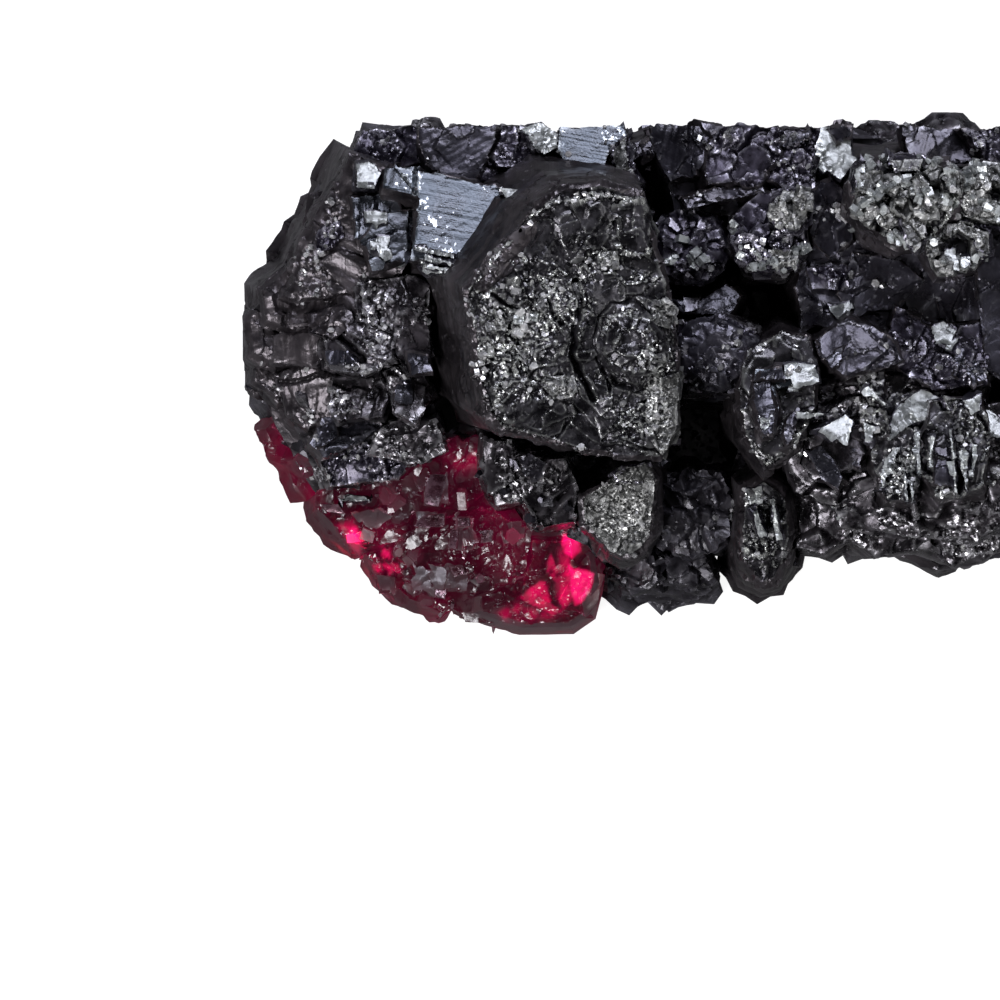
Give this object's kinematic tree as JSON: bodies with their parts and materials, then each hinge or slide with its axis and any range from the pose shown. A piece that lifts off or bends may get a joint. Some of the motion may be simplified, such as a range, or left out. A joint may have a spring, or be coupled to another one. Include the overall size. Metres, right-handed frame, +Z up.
{
  "type": "pyrargyrite specimen",
  "caption": "Cluster of black metallic pyrargyrite crystals grown together, ruby red at one thin edge, cut flat underneath where it left the rock.",
  "frame": {"origin": "middle of the specimen's box, on the flat cut that it rests on", "axes": "+X along the specimen's length, from the ruby-red end towards the dark end; +Y towards its back edge; +Z up from the flat cut, out of the crystal faces"},
  "size_m": [0.0634, 0.0372, 0.0319],
  "materials": {
    "pyrargyrite": "adamantine to metallic black crystal faces, terraced and striated, purple-grey sheen with bright glitter",
    "ruby_pyrargyrite": "deep ruby-red translucent crystal, glossy, glowing pink where the light comes through"
  },
  "bodies": {
    "root": {"pyrargyrite_cluster": "pyrargyrite"}
  },
  "joints": []
}
